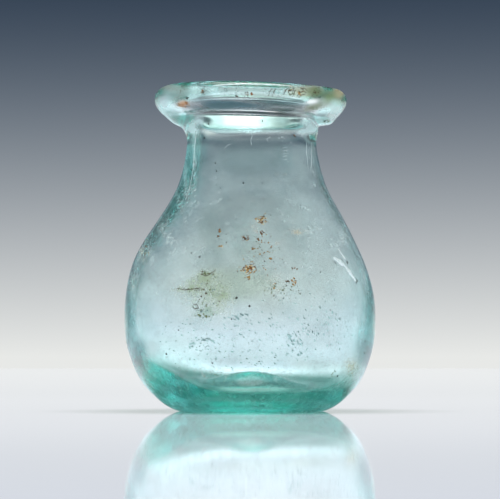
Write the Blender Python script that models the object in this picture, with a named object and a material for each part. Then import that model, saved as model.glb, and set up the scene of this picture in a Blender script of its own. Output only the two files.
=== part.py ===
"""A small free-blown glass jar of the first centuries AD.

One piece of thin aqua glass: a pear-shaped body that swells low down, a short
concave neck, a flared lip whose edge is folded over into a fat round rim, and
a thick base pushed up in the middle so that the jar rests on a ring.

Real size, metres, +Z up.  The jar stands on z = 0 with the middle of its
bounding box on the Z axis.  The sizes below are in millimetres.  Azimuth 0 is
+X, the jar's right as seen from the front (-Y).
"""

import math

import bmesh
import bpy

MM = 0.001

# ---- driving sizes, mm ----------------------------------------------------

# The underside: a flat resting ring round a pushed-in kick.
REST_IN_R = 9.8          # inner edge of the resting ring
REST_OUT_R = 13.0        # outer edge of the resting ring
KICK_H = 1.6             # how far the middle is pushed up

# The outer wall, from the heel to the top of the neck: height, radius.
WALL = (
    (0.9, 15.3),         # heel
    (2.4, 17.3),
    (5.3, 20.0),
    (9.7, 21.95),
    (13.2, 22.82),
    (18.2, 23.03),       # belly, the widest ring
    (22.6, 22.55),
    (27.4, 21.2),
    (32.0, 18.85),       # shoulder
    (36.4, 16.2),
    (40.5, 13.85),
    (44.5, 12.55),
    (47.9, 11.95),
    (49.6, 11.85),       # neck, the narrowest ring
)

# From the neck round under the flared lip, radius and height: as it runs for
# the most part, on the right, at the front and at the back, where the folded
# edge stands off the neck in different ways.
UNDER_LIP = ((12.2, 51.0), (13.0, 52.1), (14.4, 52.8), (15.7, 53.9), (17.15, 55.4))
UNDER_LIP_RIGHT = ((12.2, 51.0), (12.5, 52.4), (14.7, 52.82), (15.75, 53.9), (17.05, 55.4))
UNDER_LIP_FRONT = ((11.95, 51.9), (12.15, 53.8), (13.9, 54.2), (15.6, 54.8), (17.1, 55.7))
UNDER_LIP_BACK = ((11.93, 51.3), (12.02, 51.9), (13.5, 52.65), (15.2, 54.0), (16.85, 55.8))
BACK_TILT = 0.35         # the back of the lip is higher on the right by this

# The folded rim and the inside of the mouth: radius, height.
LIP_SIDE = (17.65, 57.0)     # the widest point of the rim
LIP_TOP = (17.1, 58.4)
LIP_CREST = (15.9, 59.1)     # the highest point of the jar
LIP_IN = (14.6, 58.8)
FOLD_IN = (13.2, 58.0)       # inner face of the folded edge
FOLD_END = (12.0, 56.8)
CREASE = (11.3, 55.2)
FLARE = (11.05, 53.6)
THROAT = (10.95, 52.3)
MOUTH = (10.87, 51.2)        # the narrowest ring of the mouth
LEFT_MOUTH = 0.38            # it is narrower by this on the thick left side

# The wall's horizontal thickness, from the neck down: height, at the front and
# back, on the left, on the right.
SKIN = (
    (49.8, 1.10, 1.50, 0.95),
    (46.0, 1.10, 1.55, 0.95),
    (42.0, 1.10, 1.60, 0.97),
    (38.0, 1.10, 1.58, 1.00),
    (33.2, 1.10, 1.49, 1.05),
    (27.7, 1.10, 1.38, 1.17),
    (22.0, 1.12, 1.36, 1.40),
    (17.5, 1.25, 1.60, 1.65),
    (13.0, 1.52, 1.95, 2.00),
)
SIDE_SPREAD = (15.0, 60.0)   # degrees from the side: full to, none beyond

# The inner floor, from the wall to the middle, with a trough round the kick:
# (radius, height) on the left, at the front and back, and on the right.
FLOOR = (
    ((20.2, 11.0), (20.4, 10.6), (20.2, 10.6)),
    ((18.8, 8.6), (19.25, 7.8), (19.1, 7.8)),
    ((16.7, 6.3), (17.2, 5.2), (17.2, 5.2)),
    ((13.8, 4.2), (14.1, 3.2), (14.1, 3.2)),
    ((10.9, 3.2), (10.8, 2.75), (10.8, 2.75)),
    ((7.6, 3.9), (7.2, 3.75), (7.2, 3.75)),
    ((3.9, 5.6), (3.7, 5.6), (3.7, 5.6)),
)
FLOOR_MID_H = 6.4

# How far each level stands off the axis: height, to the right, to the back.
LEAN = (
    (0.0, 0.25, 0.00),
    (12.0, 0.05, 0.00),
    (20.0, 0.00, 0.00),
    (29.0, -0.20, 0.10),
    (37.0, 0.33, 0.05),
    (50.0, 0.32, -0.12),
    (54.0, 0.16, 0.00),
    (58.0, 0.16, 0.08),
)

OUT_OF_ROUND_3 = 0.16    # three-sided swelling of the body
OUT_OF_ROUND_2 = 0.12    # skewed oval of the neck and rim
RIM_TILT = 0.18          # the rim stands lower on the right by this, and higher on the left
RIM_WAVE = 0.16          # its edge is wavy by this, up and down
UNDERCUT_RIGHT = (-4.0, 0.0, 55.0)       # degrees: middle, full to, none beyond
UNDERCUT_FRONT = (-93.0, 58.0, 88.0)
UNDERCUT_BACK = (92.0, 58.0, 88.0)

SEGMENTS = 64            # facets round the jar
STEPS_WALL = 2           # rings in each span of the outer wall
STEPS_RIM = 1
STEPS_SKIN = 1
STEPS_BASE = 1


# ---- curves ---------------------------------------------------------------

def along(table, height, column):
    """A table's column at this height, on a smooth curve through its rows."""
    rows = sorted(table)
    height = min(max(height, rows[0][0]), rows[-1][0])

    def slope(i):
        low, high = rows[max(i - 1, 0)], rows[min(i + 1, len(rows) - 1)]
        return (high[column] - low[column]) / (high[0] - low[0])

    for i in range(len(rows) - 1):
        if height <= rows[i + 1][0]:
            span = rows[i + 1][0] - rows[i][0]
            t = (height - rows[i][0]) / span
            return ((2 * t ** 3 - 3 * t * t + 1) * rows[i][column]
                    + (t ** 3 - 2 * t * t + t) * span * slope(i)
                    + (3 * t * t - 2 * t ** 3) * rows[i + 1][column]
                    + (t ** 3 - t * t) * span * slope(i + 1))


def through(p0, p1, p2, p3, t):
    """A point at t of the smooth curve from p1 to p2 (centripetal spline)."""
    def gap(a, b):
        return max(math.hypot(b[0] - a[0], b[1] - a[1]), 1e-6) ** 0.5

    k0 = 0.0
    k1 = k0 + gap(p0, p1)
    k2 = k1 + gap(p1, p2)
    k3 = k2 + gap(p2, p3)
    k = k1 + (k2 - k1) * t

    def mix(a, b, ka, kb):
        w = (k - ka) / (kb - ka)
        return (a[0] + (b[0] - a[0]) * w, a[1] + (b[1] - a[1]) * w)

    a1 = mix(p0, p1, k0, k1)
    a2 = mix(p1, p2, k1, k2)
    a3 = mix(p2, p3, k2, k3)
    b1 = mix(a1, a2, k0, k2)
    b2 = mix(a2, a3, k1, k3)
    return mix(b1, b2, k1, k2)


def smooth_path(stations, steps, before, after):
    """The stations joined by a smooth curve, steps[i] rings to span i."""
    points = [before] + list(stations) + [after]
    path = []
    for i in range(1, len(points) - 2):
        for s in range(steps[i - 1]):
            path.append(through(points[i - 1], points[i], points[i + 1],
                                points[i + 2], s / steps[i - 1]))
    path.append(stations[-1])
    return path


def wall_radius(height):
    """The mean outer radius at this height, from the heel to the lip."""
    return along(WALL + tuple((z, r) for r, z in UNDER_LIP[:2]), height, 1)


def ease(t):
    t = min(max(t, 0.0), 1.0)
    return t * t * (3.0 - 2.0 * t)


# ---- the jar's section at one azimuth -------------------------------------

def undercut(azimuth, where):
    """0 to 1: how much of this stretch of the lip is at the azimuth, in radians."""
    middle, full, none = where
    off = abs((math.degrees(azimuth) - middle + 180.0) % 360.0 - 180.0)
    return ease((none - off) / (none - full))


def under_lip(azimuth):
    """The outside from the neck to the rim at this azimuth."""
    ahead = undercut(azimuth, UNDERCUT_FRONT)
    behind = undercut(azimuth, UNDERCUT_BACK)
    right = undercut(azimuth, UNDERCUT_RIGHT) * max(1.0 - ahead - behind, 0.0)
    plain = 1.0 - ahead - behind - right
    lift = (0.0, BACK_TILT * behind * math.cos(azimuth))
    return [tuple(plain * row[0][k] + right * row[1][k] + ahead * row[2][k]
                  + behind * row[3][k] + lift[k] for k in (0, 1))
            for row in zip(UNDER_LIP, UNDER_LIP_RIGHT, UNDER_LIP_FRONT, UNDER_LIP_BACK)]


def section(azimuth):
    """The closed wall's section: underside, up the outside, over the rim,
    down the inside and across the floor, as (radius, height) in mm."""
    left = -math.cos(azimuth)
    off = math.degrees(math.acos(min(abs(left), 1.0)))
    beside = ease((SIDE_SPREAD[1] - off) / (SIDE_SPREAD[1] - SIDE_SPREAD[0]))

    path = [(REST_IN_R * f, KICK_H * (1.0 - f * f) ** 1.6) for f in (0.36, 0.66, 0.88)]
    path.append((REST_IN_R, 0.0))

    under = under_lip(azimuth)
    outer = [(REST_OUT_R, 0.0)] + [(r, z) for z, r in WALL] + under[:1]
    thick = LEFT_MOUTH * beside if left > 0.0 else 0.0
    rim = under[1:] + [
        LIP_SIDE, LIP_TOP, LIP_CREST, LIP_IN, FOLD_IN, FOLD_END, CREASE,
        (FLARE[0] - 0.3 * thick, FLARE[1]), (THROAT[0] - 0.75 * thick, THROAT[1]),
        (MOUTH[0] - thick, MOUTH[1]),
    ]
    inner = []
    for z, face, on_left, on_right in SKIN:
        side = on_left if left > 0.0 else on_right
        inner.append((wall_radius(z) - face - (side - face) * beside, z))
    floor = []
    for on_left, ahead, on_right in FLOOR:
        side = on_left if left > 0.0 else on_right
        floor.append(tuple(ahead[k] + (side[k] - ahead[k]) * left * left for k in (0, 1)))

    stations = outer + rim + inner + floor + [(0.0, FLOOR_MID_H)]
    steps = ([STEPS_WALL] * len(outer) + [STEPS_RIM] * len(rim)
             + [STEPS_SKIN] * len(inner) + [STEPS_BASE] * len(floor))
    before = (REST_IN_R, 0.0)
    after = (-floor[-1][0], floor[-1][1])
    return path + smooth_path(stations, steps, before, after)[:-1]


def place(radius, height, azimuth):
    """A point of the section, put where the leaning, uneven jar has it."""
    body = math.sin(math.pi * min(max(height / 44.0, 0.0), 1.0)) ** 2
    upper = ease((height - 40.0) / 10.0)
    share = min(radius / 12.0, 1.0)
    radius = radius + share * (OUT_OF_ROUND_3 * body * math.sin(3.0 * azimuth)
                               + OUT_OF_ROUND_2 * upper * math.sin(2.0 * azimuth))
    x = radius * math.cos(azimuth) + along(LEAN, height, 1)
    y = radius * math.sin(azimuth) + along(LEAN, height, 2)
    rim = ease((height - 46.0) / 8.0)
    z = height - rim * (RIM_TILT * x / LIP_SIDE[0] - RIM_WAVE * math.sin(2.0 * azimuth))
    return x, y, z


# ---- the solid ------------------------------------------------------------

def make_jar():
    mesh = bpy.data.meshes.new("glass_jar")
    bm = bmesh.new()

    rings = []
    for s in range(SEGMENTS):
        azimuth = 2.0 * math.pi * s / SEGMENTS
        rings.append([place(r, z, azimuth) for r, z in section(azimuth)])
    count = len(rings[0])

    xs = [p[0] for column in rings for p in column]
    ys = [p[1] for column in rings for p in column]
    shift_x = 0.5 * (max(xs) + min(xs))
    shift_y = 0.5 * (max(ys) + min(ys))

    def vert(p):
        return bm.verts.new(((p[0] - shift_x) * MM, (p[1] - shift_y) * MM, p[2] * MM))

    columns = [[vert(p) for p in column] for column in rings]
    under = vert((along(LEAN, 0.0, 1), 0.0, KICK_H))
    floor = vert((along(LEAN, 0.0, 1), 0.0, FLOOR_MID_H))

    for s in range(SEGMENTS):
        here = columns[s]
        there = columns[(s + 1) % SEGMENTS]
        bm.faces.new((under, there[0], here[0]))
        for i in range(count - 1):
            bm.faces.new((here[i], there[i], there[i + 1], here[i + 1]))
        bm.faces.new((floor, here[-1], there[-1]))

    bmesh.ops.triangulate(bm, faces=bm.faces[:], quad_method="SHORT_EDGE")
    bm.normal_update()
    bm.to_mesh(mesh)
    bm.free()
    mesh.shade_smooth()
    jar = bpy.data.objects.new("glass_jar", mesh)
    bpy.context.scene.collection.objects.link(jar)
    return jar


def aqua_glass():
    material = bpy.data.materials.new("aqua_glass")
    material.use_nodes = True
    shader = material.node_tree.nodes["Principled BSDF"]
    shader.inputs["Base Color"].default_value = (0.62, 0.86, 0.84, 1.0)
    shader.inputs["Roughness"].default_value = 0.03
    shader.inputs["Metallic"].default_value = 0.0
    shader.inputs["IOR"].default_value = 1.5
    shader.inputs["Transmission Weight"].default_value = 1.0
    return material


def main():
    for old in list(bpy.data.objects):
        bpy.data.objects.remove(old, do_unlink=True)
    jar = make_jar()
    jar.data.materials.append(aqua_glass())


main()
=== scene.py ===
"""The looks of the small blown-glass jar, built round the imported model."""
import math
import random

import bmesh
import bpy
import numpy as np
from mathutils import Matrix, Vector, noise
from mathutils.bvhtree import BVHTree


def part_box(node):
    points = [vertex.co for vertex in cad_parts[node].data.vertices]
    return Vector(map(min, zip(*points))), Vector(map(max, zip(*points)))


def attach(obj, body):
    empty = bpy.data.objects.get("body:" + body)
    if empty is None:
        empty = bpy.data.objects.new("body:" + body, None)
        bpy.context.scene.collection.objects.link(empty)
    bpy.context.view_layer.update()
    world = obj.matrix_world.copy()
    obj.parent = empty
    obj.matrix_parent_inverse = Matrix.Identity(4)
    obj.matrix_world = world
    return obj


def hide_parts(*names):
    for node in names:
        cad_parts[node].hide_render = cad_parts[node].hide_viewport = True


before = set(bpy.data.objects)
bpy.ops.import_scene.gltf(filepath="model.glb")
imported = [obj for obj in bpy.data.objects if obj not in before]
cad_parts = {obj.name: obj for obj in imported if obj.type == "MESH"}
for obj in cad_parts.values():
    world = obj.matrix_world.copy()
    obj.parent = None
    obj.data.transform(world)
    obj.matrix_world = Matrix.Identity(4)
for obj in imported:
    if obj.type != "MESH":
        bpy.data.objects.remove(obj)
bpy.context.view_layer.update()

MM = 0.001
scene = bpy.context.scene


# ---- camera ---------------------------------------------------------------

CAM_DIST = 0.560         # from the jar's axis
CAM_H = 0.010            # above the table
CAM_AIM_H = 0.0296       # the height on the axis that the view is centred on
LENS_STEPS = 500.0 * 220.0 / 36.0        # lens length in steps of the picture

camera_data = bpy.data.cameras.new("camera")
camera_data.lens = 220.0
camera_data.sensor_width = 36.0
camera_data.sensor_fit = "HORIZONTAL"
camera_data.clip_start = 0.01
camera_data.clip_end = 20.0
camera = bpy.data.objects.new("camera", camera_data)
scene.collection.objects.link(camera)
camera.location = (0.0, -CAM_DIST, CAM_H)
aim = Vector((0.0, 0.0, CAM_AIM_H)) - camera.location
camera.rotation_euler = aim.to_track_quat("-Z", "Y").to_euler()
scene.camera = camera

scene.view_settings.view_transform = "Standard"
scene.view_settings.look = "None"
scene.view_settings.exposure = 0.0
scene.view_settings.gamma = 1.0

# thick glass passes light on through many inner reflections
scene.cycles.max_bounces = 32
scene.cycles.glossy_bounces = 24
scene.cycles.transmission_bounces = 32


# ---- light: what stands round the table -----------------------------------

SWEEP_TOP = 0.1183                      # sine of the elevation where it is darkest
SWEEP_PALE = (0.905, 0.911, 0.903)      # as seen, before the gamma
SWEEP_DARK = (0.228, 0.276, 0.337)
PANEL_EDGE = (-0.65, -0.05)              # cosine of 4 x azimuth, from room to panel
ROOM_LOW = (0.38, 0.42, 0.43)
ROOM_HIGH = (0.17, 0.24, 0.24)
MID_SKY = (0.20, 0.27, 0.30)
CEILING = (0.055, 0.075, 0.08)
FRONT_SKY = (0.70, 0.86, 0.82)           # a large pale screen on the camera side
FRONT_LOW, FRONT_HIGH = (0.26, 0.40), (0.80, 0.90)
FRONT_SIDE = (0.50, 0.05)
BOX_AT = (0.0, 0.208, 0.978)            # overhead and a little behind
BOX_EDGE = (0.875, 0.934)               # cosine of the angle from its middle
BOX_LIGHT = (3.1, 2.65, 2.65)
LAMP_EDGE = (0.988, 0.995)              # the brightest part of the box
LAMP_LIGHT = (12.0, 11.0, 11.0)
TABLE_PAINTED_POOL = (0.85, 1.12, 1.07)        # painted light: the table glows brightly under the kick
TABLE_PAINTED_SHADE = (0.025, 0.13, 0.11)        # painted shade under the ring, then the glow round the jar and far off
TABLE_MID = (1.02, 1.05, 1.20)
TABLE_FAR = (0.82, 0.86, 1.00)
TABLE_PAINTED_POOL_R = (0.005, 0.011)
TABLE_SHADOW = (0.42, 0.60, 0.59)       # the table in the shade of the glass
TABLE_TOP = (0.845, 0.873, 0.925)
TABLE_GLOW_R = (0.020, 0.043)
TABLE_SHADE_R = (0.016, 0.034)
TABLE_FAR_R = (0.110, 0.300)


# ---- the jar's section, as in its construction ----------------------------

REST_IN_R = 9.8
REST_OUT_R = 13.0
KICK_H = 1.6

WALL = (
    (0.9, 15.3), (2.4, 17.3), (5.3, 20.0), (9.7, 21.95), (13.2, 22.82),
    (18.2, 23.03), (22.6, 22.55), (27.4, 21.2), (32.0, 18.85), (36.4, 16.2),
    (40.5, 13.85), (44.5, 12.55), (47.9, 11.95), (49.6, 11.85),
)

# from the neck round under the lip: radius, height
UNDER_LIP = ((12.2, 51.0), (13.0, 52.1), (14.4, 52.8), (15.7, 53.9), (17.15, 55.4))
UNDER_LIP_RIGHT = ((12.2, 51.0), (12.5, 52.4), (14.7, 52.82), (15.75, 53.9), (17.05, 55.4))
UNDER_LIP_FRONT = ((11.95, 51.9), (12.15, 53.8), (13.9, 54.2), (15.6, 54.8), (17.1, 55.7))
UNDER_LIP_BACK = ((11.93, 51.3), (12.02, 51.9), (13.5, 52.65), (15.2, 54.0), (16.85, 55.8))
BACK_TILT = 0.35         # the back of the lip is higher on the right by this
LIP_SIDE = (17.65, 57.0)
LIP_TOP = (17.1, 58.4)
LIP_CREST = (15.9, 59.1)
LIP_IN = (14.6, 58.8)
FOLD_IN = (13.2, 58.0)
FOLD_END = (12.0, 56.8)
CREASE = (11.3, 55.2)
FLARE = (11.05, 53.6)
THROAT = (10.95, 52.3)
MOUTH = (10.87, 51.2)
LEFT_MOUTH = 0.38        # how much narrower the mouth is on the thick left side

# the wall's horizontal thickness: height, front and back, left, right
SKIN = (
    (49.8, 1.10, 1.50, 0.95),
    (46.0, 1.10, 1.55, 0.95),
    (42.0, 1.10, 1.60, 0.97),
    (38.0, 1.10, 1.58, 1.00),
    (33.2, 1.10, 1.49, 1.05),
    (27.7, 1.10, 1.38, 1.17),
    (22.0, 1.12, 1.36, 1.40),
    (17.5, 1.25, 1.60, 1.65),
    (13.0, 1.52, 1.95, 2.00),
)
SKIN_TOP, SKIN_LOW, SKIN_RINGS = 49.8, 13.0, 16
SIDE_SPREAD = (15.0, 60.0)   # degrees from the side: full to, none beyond

# the inner floor, from the wall inwards: (radius, height) on the left, at the
# front and back, and on the right
FLOOR = (
    ((20.2, 11.0), (20.4, 10.6), (20.2, 10.6)),
    ((18.8, 8.6), (19.25, 7.8), (19.1, 7.8)),
    ((16.7, 6.3), (17.2, 5.2), (17.2, 5.2)),
    ((13.8, 4.2), (14.1, 3.2), (14.1, 3.2)),
    ((10.9, 3.2), (10.8, 2.75), (10.8, 2.75)),
    ((7.6, 3.9), (7.2, 3.75), (7.2, 3.75)),
    ((3.9, 5.6), (3.7, 5.6), (3.7, 5.6)),
)
FLOOR_MID_H = 6.4

LEAN = (
    (0.0, 0.25, 0.00),
    (12.0, 0.05, 0.00),
    (20.0, 0.00, 0.00),
    (29.0, -0.20, 0.10),
    (37.0, 0.33, 0.05),
    (50.0, 0.32, -0.12),
    (54.0, 0.16, 0.00),
    (58.0, 0.16, 0.08),
)

OUT_OF_ROUND_3 = 0.16
OUT_OF_ROUND_2 = 0.12
RIM_TILT = 0.18
RIM_WAVE = 0.16
UNDERCUT_RIGHT = (-4.0, 0.0, 55.0)       # degrees: middle, full to, none beyond
UNDERCUT_FRONT = (-93.0, 58.0, 88.0)
UNDERCUT_BACK = (92.0, 58.0, 88.0)

SEGMENTS = 288
STEPS_KICK = 14
STEPS_REST = 3
STEPS_WALL = 7
STEPS_RIM = 5
STEPS_SKIN = 4
STEPS_BASE = 6
SOFTEN_OUT = 10          # smoothing passes
SOFTEN_IN = 10


def along(table, height, column):
    """A table's column at this height, on a smooth curve through its rows."""
    rows = sorted(table)
    height = min(max(height, rows[0][0]), rows[-1][0])

    def slope(i):
        low, high = rows[max(i - 1, 0)], rows[min(i + 1, len(rows) - 1)]
        return (high[column] - low[column]) / (high[0] - low[0])

    for i in range(len(rows) - 1):
        if height <= rows[i + 1][0]:
            span = rows[i + 1][0] - rows[i][0]
            t = (height - rows[i][0]) / span
            return ((2 * t ** 3 - 3 * t * t + 1) * rows[i][column]
                    + (t ** 3 - 2 * t * t + t) * span * slope(i)
                    + (3 * t * t - 2 * t ** 3) * rows[i + 1][column]
                    + (t ** 3 - t * t) * span * slope(i + 1))


def through(p0, p1, p2, p3, t):
    def gap(a, b):
        return max(math.hypot(b[0] - a[0], b[1] - a[1]), 1e-6) ** 0.5

    k0 = 0.0
    k1 = k0 + gap(p0, p1)
    k2 = k1 + gap(p1, p2)
    k3 = k2 + gap(p2, p3)
    k = k1 + (k2 - k1) * t

    def mix(a, b, ka, kb):
        w = (k - ka) / (kb - ka)
        return (a[0] + (b[0] - a[0]) * w, a[1] + (b[1] - a[1]) * w)

    a1 = mix(p0, p1, k0, k1)
    a2 = mix(p1, p2, k1, k2)
    a3 = mix(p2, p3, k2, k3)
    b1 = mix(a1, a2, k0, k2)
    b2 = mix(a2, a3, k1, k3)
    return mix(b1, b2, k1, k2)


def smooth_path(stations, steps, before, after):
    points = [before] + list(stations) + [after]
    path = []
    for i in range(1, len(points) - 2):
        for s in range(steps[i - 1]):
            path.append(through(points[i - 1], points[i], points[i + 1],
                                points[i + 2], s / steps[i - 1]))
    path.append(stations[-1])
    return path


def wall_radius(height):
    rows = WALL + tuple((z, r) for r, z in UNDER_LIP[:2])
    return along(rows, height, 1)


def ease(t):
    t = min(max(t, 0.0), 1.0)
    return t * t * (3.0 - 2.0 * t)


def undercut(azimuth, where):
    middle, full, none = where
    off = abs((math.degrees(azimuth) - middle + 180.0) % 360.0 - 180.0)
    return ease((none - off) / (none - full))


def under_lip(azimuth):
    ahead = undercut(azimuth, UNDERCUT_FRONT)
    behind = undercut(azimuth, UNDERCUT_BACK)
    right = undercut(azimuth, UNDERCUT_RIGHT) * max(1.0 - ahead - behind, 0.0)
    plain = 1.0 - ahead - behind - right
    lift = (0.0, BACK_TILT * behind * math.cos(azimuth))
    return [tuple(plain * row[0][k] + right * row[1][k] + ahead * row[2][k]
                  + behind * row[3][k] + lift[k] for k in (0, 1))
            for row in zip(UNDER_LIP, UNDER_LIP_RIGHT, UNDER_LIP_FRONT, UNDER_LIP_BACK)]


def section(azimuth):
    """(radius, height) round the section, and how many points are outside:
    the underside and outer wall first, then the rim, then the inner wall."""
    left = -math.cos(azimuth)
    off = math.degrees(math.acos(min(abs(left), 1.0)))
    beside = ease((SIDE_SPREAD[1] - off) / (SIDE_SPREAD[1] - SIDE_SPREAD[0]))

    path = []
    for i in range(1, STEPS_KICK + 1):
        f = i / STEPS_KICK
        path.append((REST_IN_R * f, KICK_H * max(1.0 - f * f, 0.0) ** 1.6))
    for i in range(1, STEPS_REST):
        path.append((REST_IN_R + (REST_OUT_R - REST_IN_R) * i / STEPS_REST, 0.0))

    under = under_lip(azimuth)
    outer = [(REST_OUT_R, 0.0)] + [(r, z) for z, r in WALL] + under[:1]
    thick = LEFT_MOUTH * beside if left > 0.0 else 0.0
    rim = under[1:] + [
        LIP_SIDE, LIP_TOP, LIP_CREST, LIP_IN, FOLD_IN, FOLD_END, CREASE,
        (FLARE[0] - 0.3 * thick, FLARE[1]), (THROAT[0] - 0.75 * thick, THROAT[1]),
        (MOUTH[0] - thick, MOUTH[1]),
    ]
    inner = []
    for i in range(SKIN_RINGS + 1):
        z = SKIN_TOP + (SKIN_LOW - SKIN_TOP) * i / SKIN_RINGS
        side = along(SKIN, z, 2 if left > 0.0 else 3)
        face = along(SKIN, z, 1)
        inner.append((wall_radius(z) - face - (side - face) * beside, z))
    floor = []
    for on_left, ahead, on_right in FLOOR:
        side = on_left if left > 0.0 else on_right
        floor.append(tuple(ahead[k] + (side[k] - ahead[k]) * left * left for k in (0, 1)))

    stations = outer + rim + inner + floor + [(0.0, FLOOR_MID_H)]
    steps = ([STEPS_WALL] * len(outer) + [STEPS_RIM] * len(rim)
             + [STEPS_SKIN] * len(inner) + [STEPS_BASE] * len(floor))
    before = (REST_IN_R, 0.0)
    after = (-floor[-1][0], floor[-1][1])
    full = path + smooth_path(stations, steps, before, after)
    foot = len(path)
    lip = foot + STEPS_WALL * len(outer)
    throat = lip + STEPS_RIM * len(rim)
    return full, (foot, lip, throat)


def soften(path, marks):
    """Even out the curvature of the outer wall and of the inner wall and floor."""
    foot, lip, throat = marks
    points = np.array(path)
    mirror = points[-2:-SOFTEN_IN - 3:-1] * (-1.0, 1.0)
    points = np.vstack([points, mirror])
    spans = ((foot + 3, lip - 2, SOFTEN_OUT), (throat - 4, len(points) - 1, SOFTEN_IN))
    for low, high, passes in spans:
        for k in range(passes):
            a, b = low + k, high - k
            points[a:b] = (0.25 * points[a - 1:b - 1] + 0.5 * points[a:b]
                           + 0.25 * points[a + 1:b + 1])
    return points[:len(path)]


def place(radius, height, azimuth):
    body = math.sin(math.pi * min(max(height / 44.0, 0.0), 1.0)) ** 2
    upper = ease((height - 40.0) / 10.0)
    share = min(radius / 12.0, 1.0)
    radius = radius + share * (OUT_OF_ROUND_3 * body * math.sin(3.0 * azimuth)
                               + OUT_OF_ROUND_2 * upper * math.sin(2.0 * azimuth))
    x = radius * math.cos(azimuth) + along(LEAN, height, 1)
    y = radius * math.sin(azimuth) + along(LEAN, height, 2)
    rim = ease((height - 46.0) / 8.0)
    z = height - rim * (RIM_TILT * x / LIP_SIDE[0] - RIM_WAVE * math.sin(2.0 * azimuth))
    return x, y, z


# ---- the fine glass -------------------------------------------------------

WAVE_LONG, WAVE_SHORT = 0.045, 0.012   # waviness of the inner wall, mm
CLEAR = (0.985, 1.0, 0.995)
LEFT_TINT = (0.50, 0.95, 0.92)       # the thick strip down the left
LIP_TINT = (0.90, 0.80, 0.80)        # weathered film on the lip
ROUGH_OUT, ROUGH_IN, ROUGH_LIP, ROUGH_UNDER, ROUGH_FLOOR = 0.02, 0.17, 0.03, 0.25, 0.08


# stains, and painted highlights and shade where marked, on the front: across
# and down the picture, half width, half height, turn in degrees, strength, colour
OLIVE = (0.36, 0.43, 0.21)
FILM = (0.55, 0.78, 0.77)
PALE = (0.80, 0.98, 0.96)
SMOKE = (0.22, 0.30, 0.32)
DEEP = (0.01, 0.20, 0.165)
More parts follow.
